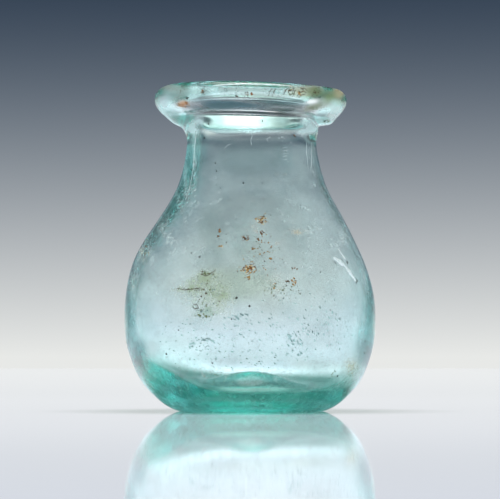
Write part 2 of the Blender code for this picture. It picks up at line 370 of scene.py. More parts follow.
# painted shade: the colour of the rim's dark crescent
CRESCENT_SHADE = (0.02, 0.07, 0.085)
FLOOR_FILM, FLOOR_FILM_H = 0.06, 8.5     # the dusty film on the inner floor
STAINS_AND_PAINTED_LIGHT = (
    (204, 277, 18, 8, 22, 0.46, OLIVE),
    (221, 297, 13, 17, 0, 0.44, OLIVE),
    (205, 313, 14, 7, 0, 0.44, (0.30, 0.44, 0.36)),
    (186, 289, 16, 5, 0, 0.32, OLIVE),
    (200, 296, 22, 18, 0, 0.22, OLIVE),
    (273, 287, 18, 11, -15, 0.34, (0.40, 0.45, 0.30)),
    (250, 282, 60, 24, 0, 0.12, (0.40, 0.43, 0.38)),
    (141, 254, 3, 22, 18, 0.34, (0.62, 0.66, 0.44)),
    (133, 284, 3, 14, 8, 0.26, (0.55, 0.58, 0.40)),
    (296, 232, 8, 3, 0, 0.52, (0.58, 0.42, 0.20)),
    (277, 243, 7, 4, 30, 0.38, (0.55, 0.44, 0.25)),
    (256, 226, 10, 14, 0, 0.22, (0.60, 0.48, 0.30)),
    (352, 366, 8, 11, 30, 0.42, (0.48, 0.46, 0.26)),
    (225, 372, 60, 8, 0, 0.16, (0.45, 0.50, 0.40)),
    # painted highlight: a bright streak down the left of the neck
    (194, 160, 2.6, 32, 2, 0.40, PALE),
    # painted shade: dark teal lines along the left edge of the neck and shoulder
    (184, 165, 1.8, 34, 3, 0.50, (0.05, 0.22, 0.23)),
    (178, 200, 2.2, 26, 16, 0.50, (0.05, 0.25, 0.25)),
    (212, 196, 12, 30, 14, 0.10, PALE),
    (176, 244, 18, 30, 24, 0.10, PALE),
    (328, 244, 24, 36, -16, 0.12, PALE),
    (165, 231, 7, 19, 26, 0.22, PALE),
    (150, 256, 5, 13, 20, 0.24, PALE),
    (188, 180, 6, 26, 4, 0.20, PALE),
    (341, 241, 7, 15, -22, 0.20, PALE),
    (312, 176, 6, 24, -4, 0.16, PALE),
    (302, 134, 7, 6, 0, 0.36, PALE),
    (330, 118, 6, 5, 0, 0.28, PALE),
    (226, 137, 38, 6, 0, 0.13, (0.26, 0.74, 0.76)),
    (186, 190, 7, 18, 8, 0.08, (0.48, 0.90, 0.93)),
    (204, 250, 12, 26, 30, 0.10, SMOKE),
    (322, 389, 26, 5, -16, 0.14, DEEP),
    (315, 91, 9, 6, 0, 0.80, (0.09, 0.14, 0.02)),
    (329, 97, 9, 6, 25, 0.66, (0.16, 0.21, 0.05)),
    (314, 107, 14, 4, 15, 0.78, (0.12, 0.13, 0.06)),
    (339, 93, 5, 6, 0, 0.66, (0.52, 0.42, 0.22)),
    (182, 104, 6.5, 3.6, 15, 0.85, (0.50, 0.21, 0.06)),
    (163, 101, 11, 9, 30, 0.56, (0.46, 0.52, 0.54)),
    (182, 92, 26, 7, 0, 0.42, (0.36, 0.48, 0.45)),
    (244, 90, 60, 6, 0, 0.56, (0.58, 0.68, 0.63)),
    (262, 96, 30, 2.6, 0, 0.50, (0.24, 0.30, 0.25)),
    # painted highlight: a white patch on the right of the rim
    (312, 101.5, 7, 2.6, 8, 0.90, (1.0, 1.0, 0.97)),
    # painted shade: the dark crescent across the front of the rim
    (236, 104, 42, 4.2, -3, 0.70, CRESCENT_SHADE),
    (219, 107, 22, 3.6, -6, 0.62, CRESCENT_SHADE),
    (194, 108, 11, 3.0, -10, 0.45, CRESCENT_SHADE),
    (168, 87, 14, 4, -14, 0.50, (0.30, 0.34, 0.32)),
    (338, 91, 7, 7, 40, 0.45, (0.36, 0.37, 0.26)),
    # painted light: a pale band under the rim, and pale patches either side of the neck's highlight
    (250, 131, 62, 3, 0, 0.56, (0.62, 0.86, 0.85)),
    (199, 121, 9, 7, 0, 0.46, (0.66, 0.90, 0.89)),
    (305, 121, 9, 7, 0, 0.46, (0.66, 0.90, 0.89)),
    (335, 108, 12, 9, 0, 0.46, (0.40, 0.48, 0.43)),
    (299, 92, 13, 7, 0, 0.55, (0.46, 0.42, 0.22)),
    # painted light: pale patches at the ends of the pale band
    (190, 128, 7, 7, 0, 0.55, (0.60, 0.78, 0.76)),
    (312, 128, 7, 7, 0, 0.55, (0.60, 0.78, 0.76)),
)


# painted shade: places on the front where the glass's tint is darkened to look deeper, in the same
# terms
SHADE_PAINT = (
    (240, 399, 96, 12, 0, (0.90, 0.93, 0.91)),
    (353, 374, 11, 15, 32, (0.60, 0.68, 0.63)),
    (188, 361, 34, 8, 14, (0.70, 0.74, 0.71)),
    (169, 386, 20, 8, 34, (0.76, 0.42, 0.43)),
    (361, 367, 8, 15, 24, (0.40, 0.46, 0.42)),
    (234, 284, 46, 20, 0, (0.56, 0.60, 0.49)),
    (318, 282, 20, 13, 0, (0.76, 0.78, 0.78)),
    (212, 232, 13, 28, 14, (0.70, 0.75, 0.74)),
    (212, 258, 16, 13, 0, (0.72, 0.76, 0.76)),
    (250, 253, 20, 12, 0, (0.74, 0.73, 0.70)),
    (330, 264, 15, 12, 0, (0.73, 0.73, 0.73)),
    (270, 306, 16, 10, 0, (0.78, 0.78, 0.76)),
    (240, 233, 13, 11, 0, (0.78, 0.79, 0.78)),
    (150, 350, 9, 10, -20, (0.78, 0.72, 0.72)),
    (222, 363, 24, 6, 6, (0.72, 0.70, 0.70)),
    (318, 367, 34, 8, -2, (0.70, 0.69, 0.63)),
    (316, 338, 26, 14, 0, (0.76, 0.74, 0.72)),
    (208, 388, 18, 3.5, 12, (0.40, 0.58, 0.58)),
    (252, 408, 30, 3, 0, (0.80, 0.54, 0.56)),
    (187.5, 136, 3.5, 5, 0, (0.60, 0.45, 0.45)),
    (313, 136, 3.5, 5, 0, (0.60, 0.45, 0.45)),
    (258, 396, 62, 6, 0, (0.30, 0.66, 0.60)),
    (152, 372, 14, 22, -30, (0.62, 0.84, 0.80)),
    (126, 320, 5.5, 42, 0, (0.14, 0.33, 0.34)),
    (131, 345, 6.5, 12, -8, (0.34, 0.50, 0.50)),
    (137, 353, 7, 14, -14, (0.10, 0.30, 0.31)),
    (371, 324, 6, 50, 0, (0.18, 0.37, 0.36)),
    (367, 344, 6, 13, 8, (0.36, 0.44, 0.44)),
    (365.5, 358, 6.5, 20, 16, (0.16, 0.32, 0.30)),
    (230, 105, 44, 5, -6, (0.08, 0.22, 0.28)),
    (218, 108, 22, 3.5, -6, (0.18, 0.30, 0.33)),
    (280, 103, 30, 4, 4, (0.34, 0.46, 0.47)),
    (250, 112, 16, 2.5, -4, (0.44, 0.56, 0.60)),
    (195, 108, 14, 3.6, -14, (0.10, 0.20, 0.22)),
    (268, 99.4, 27, 2.2, 4, (0.26, 0.30, 0.29)),
    (205, 92, 54, 5, 0, (0.62, 0.70, 0.68)),
    (165, 93, 11, 9, 0, (0.34, 0.50, 0.46)),
    (190, 96, 12, 2.6, 0, (0.50, 0.46, 0.44)),
    (258, 95.6, 40, 3, 0, (0.32, 0.34, 0.30)),
    (330, 93, 14, 8, 10, (0.46, 0.58, 0.40)),
    (310, 97, 12, 3.4, 6, (0.40, 0.44, 0.32)),
    (311, 107, 12, 6, 20, (0.26, 0.32, 0.22)),
    (312, 92, 12, 6, 0, (0.90, 0.87, 0.68)),
    (281, 120, 14, 8, 0, (0.12, 0.16, 0.16)),
    (214, 120, 12, 8, 0, (0.38, 0.45, 0.46)),
    (264, 120, 8, 8, 0, (0.50, 0.58, 0.58)),
    (174, 115, 6, 5, 20, (0.76, 0.64, 0.65)),
    (168, 109, 10, 7, 20, (0.58, 0.52, 0.52)),
    (340, 100, 6, 6, 0, (0.66, 0.54, 0.32)),
    (200, 92, 12, 4, 0, (0.94, 0.80, 0.72)),
    (232, 128, 46, 3.4, -2, (0.34, 0.48, 0.46)),
    (168, 346, 34, 14, 8, (0.61, 0.64, 0.61)),
    (146, 322, 7, 20, -4, (0.76, 0.80, 0.80)),
    (180, 98, 30, 14, 0, (0.66, 0.70, 0.66)),
    (333, 104, 14, 12, 0, (0.62, 0.66, 0.60)),
    (284, 127, 22, 5, 0, (0.30, 0.36, 0.34)),
    (250, 159, 48, 22, 0, (0.39, 0.48, 0.50)),
)


def stain_layers(grid, ring, lip, throat):
    """Colour and strength of the stains, with their painted highlights and
    shade, at every point of the glass, and how much painted shade darkens its tint there."""
    turn = camera.rotation_euler.to_matrix()
    right, up, back = (np.array(turn.col[k]) for k in range(3))
    rel = grid * MM - np.array(camera.location)
    depth = -(rel @ back)
    u = 249.5 + LENS_STEPS * (rel @ right) / depth
    v = 249.5 - LENS_STEPS * (rel @ up) / depth
    facing = (grid[:, :, 1] < frame_box_mid[1]) & (ring < lip + 0.5 * (throat - lip))
    height = grid[:, :, 2]
    amount = np.where(ring < throat - 4, 0.08, 0.0) * np.clip(height / 14.0, 0.2, 1.0)
    amount *= np.clip((47.0 - height) / 8.0, 0.25, 1.0)
    settled = np.clip((FLOOR_FILM_H - grid[:, :, 2]) / 3.0, 0.0, 1.0) * (ring > throat)
    amount += FLOOR_FILM * settled
    colour = amount[:, :, None] * np.array(FILM)
    for across, down, half_w, half_h, angle, strength, shade in STAINS_AND_PAINTED_LIGHT:
        c, k = math.cos(math.radians(angle)), math.sin(math.radians(angle))
        du, dv = u - across, down - v
        a, b = (du * c + dv * k) / half_w, (dv * c - du * k) / half_h
        weight = strength * np.exp(-1.2 * (a * a + b * b)) * facing
        colour += weight[:, :, None] * np.array(shade)
        amount += weight
    colour /= np.maximum(amount, 1e-6)[:, :, None]
    # painted shade: how much the tint is darkened at each listed place
    thick = np.ones(grid.shape)
    for across, down, half_w, half_h, angle, shade in SHADE_PAINT:
        c, k = math.cos(math.radians(angle)), math.sin(math.radians(angle))
        du, dv = u - across, down - v
        a, b = (du * c + dv * k) / half_w, (dv * c - du * k) / half_h
        weight = np.exp(-1.2 * (a * a + b * b) ** 2) * facing
        thick *= 1.0 + weight[:, :, None] * (np.array(shade) - 1.0)
    return np.clip(colour, 0.0, 1.0), np.clip(amount, 0.0, 0.95), thick


def paint_glass(mesh, grid, marks):
    """Tint with its painted shade, stains with painted highlights and shade, and roughness of every
    point of the glass, as mesh attributes.
    """
    foot, lip, throat = marks
    count = grid.shape[1]
    ring = np.arange(count)

    def fade(a, b, t):
        t = np.clip((t - a) / (b - a), 0.0, 1.0)
        return t * t * (3.0 - 2.0 * t)

    inside = fade(throat - 6, throat + 14, ring)
    under = fade(foot + 6, foot, ring)
    rim = fade(lip - 4, lip + 4, ring) * fade(throat + 2, throat - 8, ring)
    rough = ROUGH_OUT + (ROUGH_IN - ROUGH_OUT) * inside + ROUGH_LIP * rim * (1.0 - inside)
    low_floor = inside * fade(10.5, 8.0, grid[0, :, 2])
    rough += (ROUGH_FLOOR - rough) * low_floor
    rough += (ROUGH_UNDER - rough) * under
    rough = rough[None, :] + 0.11 * rim[None, :] * fade(8.0, 14.0, np.abs(grid[:, :, 0]))
    azimuth = 2.0 * math.pi * np.arange(SEGMENTS) / SEGMENTS
    side = fade(math.cos(math.radians(38.0)), math.cos(math.radians(14.0)), -np.cos(azimuth))
    height = grid[0, :, 2]
    strip = fade(32.0, 44.0, height) * fade(52.0, 48.0, height) * (ring < lip)
    strip = side[:, None] * strip[None, :]
    tint = np.array(CLEAR)[None, None, :] * (1.0 + strip[:, :, None] * (np.array(LEFT_TINT) - 1.0))
    tint = tint * (1.0 + rim[None, :, None] * (np.array(LIP_TINT) - 1.0))
    shade, amount, thick = stain_layers(grid, ring, lip, throat)
    # painted shade darkens the tint here
    tint = tint * thick
    rgba = np.ones((SEGMENTS * count + 2, 4), np.float32)
    rgba[:-2, :3] = tint.reshape(-1, 3)
    rgba[-2:, :3] = CLEAR
    mesh.attributes.new("tint", "FLOAT_COLOR", "POINT").data.foreach_set("color", rgba.ravel())
    rgba[:-2, :3] = shade.reshape(-1, 3)
    rgba[:-2, 3] = amount.ravel()
    rgba[-2:] = 0.0
    mesh.attributes.new("stain_and_painted_light", "FLOAT_COLOR", "POINT").data.foreach_set("color", rgba.ravel())
    mesh.attributes.new("film", "FLOAT", "POINT").data.foreach_set("value", np.concatenate(
        [rough.ravel(), (ROUGH_UNDER, ROUGH_IN)]).astype(np.float32))


def make_glass():
    columns = []
    middle_h = []
    section_marks = section(0.0)[1]
    for s in range(SEGMENTS):
        azimuth = 2.0 * math.pi * s / SEGMENTS
        path = soften(*section(azimuth))
        throat = section_marks[2]
        column = []
        for i, (r, z) in enumerate(path[:-1]):
            x, y, z = place(r, z, azimuth)
            if i > throat - 8:
                share = ease((i - throat + 8) / 20.0) * min(r / 6.0, 1.0)
                wave = (WAVE_LONG * noise.noise(Vector((x, y, z * 0.6)) / 7.0)
                        + WAVE_SHORT * noise.noise(Vector((x, y, z * 0.7)) / 2.2))
                x += share * wave * math.cos(azimuth)
                y += share * wave * math.sin(azimuth)
            column.append((x, y, z))
        columns.append(column)
        middle_h.append(path[-1][1])
    grid = np.array(columns)                         # segment, ring, xyz
    box = (frame_box_mid[0], frame_box_mid[1])
    middle = 0.5 * (grid[:, :, :2].max((0, 1)) + grid[:, :, :2].min((0, 1)))
    grid[:, :, :2] += np.array(box) - middle
    count = grid.shape[1]

    mesh = bpy.data.meshes.new("glass_wall")
    bm = bmesh.new()
    verts = [[bm.verts.new(Vector(p) * MM) for p in column] for column in grid.tolist()]
    lean_x = along(LEAN, 0.0, 1) + box[0] - middle[0]
    under = bm.verts.new(Vector((lean_x, box[1] - middle[1], KICK_H)) * MM)
    floor = bm.verts.new(Vector((lean_x, box[1] - middle[1],
                                 sum(middle_h) / len(middle_h))) * MM)
    for s in range(SEGMENTS):
        here, there = verts[s], verts[(s + 1) % SEGMENTS]
        bm.faces.new((under, there[0], here[0]))
        for i in range(count - 1):
            bm.faces.new((here[i], there[i], there[i + 1], here[i + 1]))
        bm.faces.new((floor, here[-1], there[-1]))
    bm.normal_update()
    bm.to_mesh(mesh)
    bm.free()
    mesh.shade_smooth()
    paint_glass(mesh, grid, section(0.0)[1])
    glass = bpy.data.objects.new("glass_wall", mesh)
    scene.collection.objects.link(glass)
    return glass


# ---- materials ------------------------------------------------------------

def new_material(name):
    material = bpy.data.materials.new(name)
    material.use_nodes = True
    tree = material.node_tree
    shader = tree.nodes["Principled BSDF"]
    output = tree.nodes["Material Output"]
    return material, tree, shader, output


def glass_material():
    material, tree, shader, output = new_material("aqua_glass")
    def node(kind, **values):
        made = tree.nodes.new(kind)
        for key, value in values.items():
            setattr(made, key, value)
        return made

    def sums(operation, *terms):
        made = node("ShaderNodeMath", operation=operation)
        for socket, value in zip(made.inputs, terms):
            if isinstance(value, (int, float)):
                socket.default_value = value
            else:
                tree.links.new(value, socket)
        return made.outputs[0]

    def cloud(scale, detail):
        made = node("ShaderNodeTexNoise")
        made.inputs["Scale"].default_value = scale
        made.inputs["Detail"].default_value = detail
        tree.links.new(where.outputs["Object"], made.inputs["Vector"])
        return made.outputs["Fac"]

    where = node("ShaderNodeTexCoord")
    tint = node("ShaderNodeAttribute", attribute_name="tint")
    film = node("ShaderNodeAttribute", attribute_name="film")
    stain_and_painted_light = node("ShaderNodeAttribute", attribute_name="stain_and_painted_light")

    # a stain is broken up into grains and clouds
    mottle = cloud(260.0, 6.0)
    grain = sums("ADD", sums("MULTIPLY", cloud(1000.0, 3.0), 0.38),
                 sums("MULTIPLY", cloud(3400.0, 2.0), 0.30))
    grain = sums("ADD", grain, sums("MULTIPLY", mottle, 0.32))
    patch = node("ShaderNodeMapRange", interpolation_type="SMOOTHSTEP")
    level = node("ShaderNodeSeparateXYZ")
    tree.links.new(where.outputs["Object"], level.inputs[0])
    even = node("ShaderNodeMapRange")        # the film on the lip is more even
    tree.links.new(level.outputs["Z"], even.inputs["Value"])
    even.inputs["From Min"].default_value = 0.042
    even.inputs["From Max"].default_value = 0.050
    even.inputs["To Min"].default_value = 2.2
    even.inputs["To Max"].default_value = 0.8
    ragged = sums("MULTIPLY", sums("SUBTRACT", grain, 0.5), even.outputs["Result"])
    tree.links.new(sums("ADD", stain_and_painted_light.outputs["Alpha"], ragged), patch.inputs["Value"])
    patch.inputs["From Min"].default_value = 0.03
    patch.inputs["From Max"].default_value = 0.90
    mask = patch.outputs["Result"]
    ground = node("ShaderNodeMix", data_type="RGBA")
    tree.links.new(mask, ground.inputs["Factor"])
    shady = node("ShaderNodeMapRange", interpolation_type="SMOOTHSTEP")
    tree.links.new(mottle, shady.inputs["Value"])
    shady.inputs["From Min"].default_value = 0.40
    shady.inputs["From Max"].default_value = 0.62
    clear = node("ShaderNodeMix", data_type="RGBA", blend_type="MULTIPLY")
    tree.links.new(shady.outputs["Result"], clear.inputs["Factor"])
    tree.links.new(tint.outputs["Color"], clear.inputs["A"])
    clear.inputs["B"].default_value = (0.95, 0.965, 0.97, 1.0)
    tree.links.new(clear.outputs["Result"], ground.inputs["A"])
    tree.links.new(stain_and_painted_light.outputs["Color"], ground.inputs["B"])
    tree.links.new(ground.outputs["Result"], shader.inputs["Base Color"])
    tree.links.new(sums("MULTIPLY_ADD", mask, 0.4, film.outputs["Fac"]), shader.inputs["Roughness"])
    tree.links.new(sums("MULTIPLY_ADD", mask, -0.80, 1.0), shader.inputs["Transmission Weight"])

    # fine weathering of the surface
    pits = node("ShaderNodeBump")
    calm = node("ShaderNodeMapRange")
    tree.links.new(level.outputs["Z"], calm.inputs["Value"])
    calm.inputs["From Min"].default_value = 0.049
    calm.inputs["From Max"].default_value = 0.052
    calm.inputs["To Min"].default_value = 0.10
    calm.inputs["To Max"].default_value = 0.015
    tree.links.new(calm.outputs["Result"], pits.inputs["Strength"])
    pits.inputs["Distance"].default_value = 0.00006
    tree.links.new(cloud(420.0, 4.0), pits.inputs["Height"])
    tree.links.new(pits.outputs["Normal"], shader.inputs["Normal"])
    shader.inputs["IOR"].default_value = 1.5
    absorb = tree.nodes.new("ShaderNodeVolumeAbsorption")
    absorb.inputs["Color"].default_value = (0.40, 0.965, 0.925, 1.0)
    absorb.inputs["Density"].default_value = 100.0
    tree.links.new(absorb.outputs["Volume"], output.inputs["Volume"])
    return material


def floor_material():
    material, tree, shader, output = new_material("table_top")
    shader.inputs["Roughness"].default_value = 1.0
    shader.inputs["Specular IOR Level"].default_value = 0.0
    shader.inputs["Coat Weight"].default_value = 1.0
    shader.inputs["Coat Roughness"].default_value = 0.03
    shader.inputs["Coat IOR"].default_value = 1.45
    shader.inputs["Emission Strength"].default_value = 1.0
    where = tree.nodes.new("ShaderNodeTexCoord")
    far = tree.nodes.new("ShaderNodeVectorMath")
    far.operation = "LENGTH"
    tree.links.new(where.outputs["Object"], far.inputs[0])
    # emission: a painted pool of light under the kick, painted shade round the ring, then the plain
    # glow
    shade = TABLE_PAINTED_POOL + (1.0,)
    for (low, high), colour in ((TABLE_PAINTED_POOL_R, TABLE_PAINTED_SHADE), (TABLE_GLOW_R, TABLE_MID),
                                (TABLE_FAR_R, TABLE_FAR)):
        share = tree.nodes.new("ShaderNodeMapRange")
        share.interpolation_type = "SMOOTHSTEP"
        share.inputs["From Min"].default_value = low
        share.inputs["From Max"].default_value = high
        tree.links.new(far.outputs["Value"], share.inputs["Value"])
        glow = tree.nodes.new("ShaderNodeMix")
        glow.data_type = "RGBA"
        tree.links.new(share.outputs["Result"], glow.inputs["Factor"])
        if isinstance(shade, tuple):
            glow.inputs["A"].default_value = shade
        else:
            tree.links.new(shade, glow.inputs["A"])
        glow.inputs["B"].default_value = colour + (1.0,)
        shade = glow.outputs["Result"]
    tree.links.new(shade, shader.inputs["Emission Color"])
    clear = tree.nodes.new("ShaderNodeMapRange")
    clear.interpolation_type = "SMOOTHSTEP"
    clear.inputs["From Min"].default_value = TABLE_SHADE_R[0]
    clear.inputs["From Max"].default_value = TABLE_SHADE_R[1]
    tree.links.new(far.outputs["Value"], clear.inputs["Value"])
    top = tree.nodes.new("ShaderNodeMix")
    top.data_type = "RGBA"
    top.inputs["A"].default_value = TABLE_SHADOW + (1.0,)
    top.inputs["B"].default_value = TABLE_TOP + (1.0,)
    tree.links.new(clear.outputs["Result"], top.inputs["Factor"])
    tree.links.new(top.outputs["Result"], shader.inputs["Base Color"])
    return material


def earth_material():
    material, tree, shader, output = new_material("burial_deposit")
    shade = tree.nodes.new("ShaderNodeAttribute")
    shade.attribute_name = "shade"
    tree.links.new(shade.outputs["Color"], shader.inputs["Base Color"])
    shader.inputs["Roughness"].default_value = 0.85
    return material


# pale scars, and the painted highlights drawn in the same white
def scar_and_highlight_material():
    material, tree, shader, output = new_material("scar_and_painted_highlight")
    where = tree.nodes.new("ShaderNodeTexCoord")
    cloud = tree.nodes.new("ShaderNodeTexNoise")
    cloud.inputs["Scale"].default_value = 1800.0
    tree.links.new(where.outputs["Object"], cloud.inputs["Vector"])
    pale = tree.nodes.new("ShaderNodeMix")
    pale.data_type = "RGBA"
    pale.inputs["A"].default_value = (0.62, 0.80, 0.80, 1.0)
    pale.inputs["B"].default_value = (0.97, 1.0, 1.0, 1.0)
    tree.links.new(cloud.outputs["Fac"], pale.inputs["Factor"])
    tree.links.new(pale.outputs["Result"], shader.inputs["Base Color"])
    shader.inputs["Roughness"].default_value = 0.14
    shader.inputs["Specular IOR Level"].default_value = 1.0
    return material


# ---- marks: flecks, strokes, scars and painted highlights -----------------

RUST = (0.20, 0.078, 0.017)
OCHRE = (0.38, 0.215, 0.058)
SAND = (0.72, 0.60, 0.36)
DARK = (0.030, 0.032, 0.028)
UMBER = (0.07, 0.038, 0.016)
SLATE = (0.16, 0.24, 0.235)
MOSS = (0.13, 0.16, 0.07)

# clusters of flakes: across and down the picture, half width, half height,
# number, size in mm, colours
CLUSTERS = (
    (262, 220, 5.5, 4.5, 42, 0.16, (RUST, OCHRE, SAND, UMBER)),
    (265, 214, 3.0, 4.0, 5, 0.11, (OCHRE, UMBER)),
    (256, 219, 3.5, 2.0, 8, 0.13, (OCHRE, SAND)),
    (261, 233, 2.0, 3.0, 8, 0.16, (RUST, UMBER)),
    (259, 240, 3.0, 3.5, 11, 0.16, (RUST, OCHRE, UMBER)),
    (244, 238, 5.0, 3.0, 22, 0.14, (OCHRE, RUST, UMBER)),
    (219, 231, 1.2, 2.2, 9, 0.16, (RUST, OCHRE)),
    (218, 237, 1.2, 1.8, 7, 0.16, (RUST, UMBER)),
    (220, 247, 3.0, 2.2, 12, 0.15, (RUST, OCHRE, SAND)),
    (253, 249, 2.2, 2.0, 7, 0.13, (OCHRE, RUST)),
    (249, 269, 7.0, 5.0, 52, 0.17, (RUST, RUST, OCHRE, UMBER, SAND)),
    (248, 277, 4.0, 3.0, 12, 0.14, (OCHRE, RUST, SAND)),
    (240, 270, 3.5, 3.5, 9, 0.12, (OCHRE, UMBER)),
    (270, 259, 1.8, 2.6, 7, 0.14, (RUST, OCHRE)),
    (293, 282, 2.6, 4.2, 22, 0.18, (OCHRE, RUST, SAND)),
    (287, 282, 2.2, 1.8, 8, 0.14, (RUST, UMBER)),
    (274, 286, 2.0, 3.0, 8, 0.13, (OCHRE, MOSS)),
    (294, 268, 4.0, 3.0, 9, 0.11, (RUST, UMBER)),
    (264, 243, 16.0, 13.0, 36, 0.105, (OCHRE, UMBER, MOSS)),
    (262, 262, 24.0, 20.0, 64, 0.10, (OCHRE, RUST, UMBER)),
    (222, 240, 8.0, 9.0, 10, 0.09, (OCHRE, UMBER)),
    (250, 205, 25.0, 14.0, 16, 0.075, (UMBER, SLATE, OCHRE)),
    (206, 273, 8.0, 3.0, 16, 0.15, (MOSS, UMBER)),
    (190, 289, 13.0, 2.6, 15, 0.12, (MOSS, UMBER)),
    (207, 291, 18.0, 18.0, 80, 0.115, (MOSS, SLATE, MOSS, UMBER)),
    (204, 314, 10.0, 5.0, 26, 0.15, (SLATE, MOSS)),
    (281, 291, 20.0, 10.0, 66, 0.12, (MOSS, SLATE, MOSS, UMBER)),
    (347, 263, 1.2, 2.0, 5, 0.16, (DARK,)),
    (356, 281, 1.4, 2.4, 7, 0.18, (DARK,)),
    (145, 250, 4.0, 13.0, 20, 0.11, (MOSS, OCHRE)),
    (183, 104, 6.0, 3.6, 18, 0.20, (OCHRE, RUST)),
    (180, 105, 3.5, 1.0, 6, 0.14, (UMBER,)),
    (203, 91, 3.5, 5.0, 14, 0.13, (UMBER, RUST, DARK)),
    (186, 98, 2.0, 1.2, 5, 0.14, (DARK,)),
    (178, 90, 16.0, 4.0, 22, 0.08, (DARK, UMBER, MOSS)),
    (250, 94, 5.0, 1.6, 10, 0.15, (UMBER, RUST)),
    (236, 96, 2.2, 1.0, 5, 0.12, (UMBER, DARK)),
    (246, 93, 1.4, 1.0, 3, 0.16, (DARK,)),
    (291, 91, 5.0, 5.0, 22, 0.15, (OCHRE, UMBER, MOSS)),
    (300, 91, 4.0, 4.5, 16, 0.14, (OCHRE, UMBER)),
    (315, 91, 8.0, 5.0, 24, 0.12, (MOSS, UMBER)),
    (318, 108, 10.0, 3.0, 20, 0.12, (UMBER, MOSS)),
    (326, 121, 3.5, 1.4, 8, 0.16, (MOSS, DARK)),
    (235, 91, 55.0, 5.0, 30, 0.065, (UMBER, SLATE)),
    (294, 136, 2.0, 2.0, 5, 0.12, (OCHRE, UMBER)),
    (352, 372, 7.0, 12.0, 22, 0.09, (OCHRE, MOSS, SLATE)),
    (335, 372, 10.0, 9.0, 14, 0.09, (MOSS, SLATE)),
    (303, 398, 25.0, 4.0, 12, 0.07, (MOSS, SLATE)),
    (210, 381, 30.0, 8.0, 34, 0.08, (OCHRE, MOSS, SLATE)),
)

# single dark grains: across, down, size in mm
DOTS = (
    (204, 138, 0.17), (243, 183, 0.17), (216, 171, 0.14), (215, 163, 0.13),
    (220, 188, 0.11), (189, 200, 0.11), (194, 139, 0.10), (245, 191, 0.09),
    (270, 215, 0.12), (191, 253, 0.16), (249, 306, 0.18), (236, 298, 0.22),
    (231, 319, 0.14), (166, 354, 0.18), (212, 363, 0.16), (364, 353, 0.18),
    (337, 376, 0.20), (337, 233, 0.13), (335, 263, 0.14), (320, 272, 0.12),
    (186, 407, 0.15), (224, 406, 0.16), (317, 177, 0.11), (281, 147, 0.09),
    (208, 124, 0.16), (262, 121, 0.14), (262, 183, 0.10), (216, 185, 0.10),
    (199, 257, 0.20), (178, 330, 0.13), (150, 247, 0.12), (152, 242, 0.12),
    (347, 264, 0.12), (356, 282, 0.16), (300, 205, 0.09), (330, 310, 0.11),
)

# small grey inclusions drawn out along the blowing: area across and down,
# half width, half height, number, size in mm
SEEDS = (
    (250, 338, 96.0, 28.0, 240, 0.122),
    (200, 344, 14.0, 7.0, 30, 0.20),
    (294, 340, 9.0, 8.0, 16, 0.20),
    (294, 355, 10.0, 4.0, 9, 0.16),
    (318, 322, 22.0, 16.0, 30, 0.17),
    (237, 318, 14.0, 5.0, 9, 0.20),
    (335, 335, 20.0, 18.0, 20, 0.13),
    (225, 365, 60.0, 6.0, 20, 0.11),
    (300, 300, 40.0, 10.0, 18, 0.11),
)

# pale flecks and short scratches in the surface, in the same terms
DASHES = (
    (332, 312, 26.0, 34.0, 70, 0.085),
    (250, 330, 95.0, 30.0, 90, 0.075),
    (250, 240, 70.0, 50.0, 26, 0.055),
    (290, 150, 20.0, 16.0, 20, 0.06),
    (235, 340, 40.0, 14.0, 24, 0.10),
    (180, 340, 30.0, 22.0, 24, 0.09),
)

# thin dark strokes, as points across and down
STROKES = (
    ((268, 96), (269, 92), (272, 88)),
    ((272, 97), (273, 92), (276, 88)),
    ((289, 88), (288, 92), (290, 96)),
    ((292, 97), (294, 92), (292, 88)),
    ((296, 97), (299, 93), (303, 91), (306, 93)),
    ((298, 98), (301, 95), (305, 94)),
    ((300, 89), (304, 88), (307, 91)),
    ((283, 95), (285, 91), (287, 88)),
    ((176, 105), (182, 107), (189, 106)),
    ((201, 274), (205, 276), (208, 275), (215, 270)),
    ((176, 288), (184, 290), (192, 289), (201, 288)),
    ((192, 306), (194, 309), (198, 308), (197, 305), (193, 304)),
)

# flecks on the sides that the picture does not show: azimuth in degrees,
# height in mm, spread in degrees, number, size in mm, colours
HIDDEN = (
    (90.0, 22.0, 70.0, 60, 0.10, (SLATE, MOSS)),
    (70.0, 30.0, 12.0, 10, 0.13, (RUST, OCHRE, UMBER)),
    (130.0, 24.0, 14.0, 14, 0.12, (MOSS, UMBER)),
    (20.0, 14.0, 14.0, 12, 0.11, (SLATE, DARK)),
    (175.0, 12.0, 14.0, 12, 0.11, (SLATE, MOSS)),
    (100.0, 56.5, 40.0, 12, 0.11, (UMBER, MOSS)),
)

# pale scars and painted highlights: a line's points across and down, and its half width in mm
SCAR_AND_HIGHLIGHT_LINES = (
    (((333, 257), (338, 260), (343, 264), (347, 269), (352, 276), (355, 281)), 0.44),
    (((338, 249), (341, 254), (345, 259)), 0.26),
    (((332, 257), (337, 261), (342, 266)), 0.26),
    # painted highlight: a bright line along the top edge of the rim
    (((212, 85.6), (228, 84.4), (244, 83.9), (262, 84.2), (278, 85.0), (291, 86.2)), 0.16),
    # painted highlights: bright streaks down the right and left of the neck
    (((306, 142), (306, 152), (307, 162), (308, 169)), 0.05),
    (((311, 143), (311, 153), (311, 163), (310, 170)), 0.05),
    (((196, 131), (194, 148), (193, 166), (190, 184), (185, 200)), 0.08),
    (((282, 148), (287, 147)), 0.020), (((282, 151), (288, 150)), 0.020),
    (((283, 154), (288, 153)), 0.020), (((281, 157), (287, 156)), 0.020),
    (((282, 160), (287, 159)), 0.020),
    (((224, 148), (227, 145), (231, 144)), 0.022),
    (((251, 145), (250, 140), (252, 136)), 0.03),
    (((268, 142), (266, 139), (270, 137)), 0.02),
)


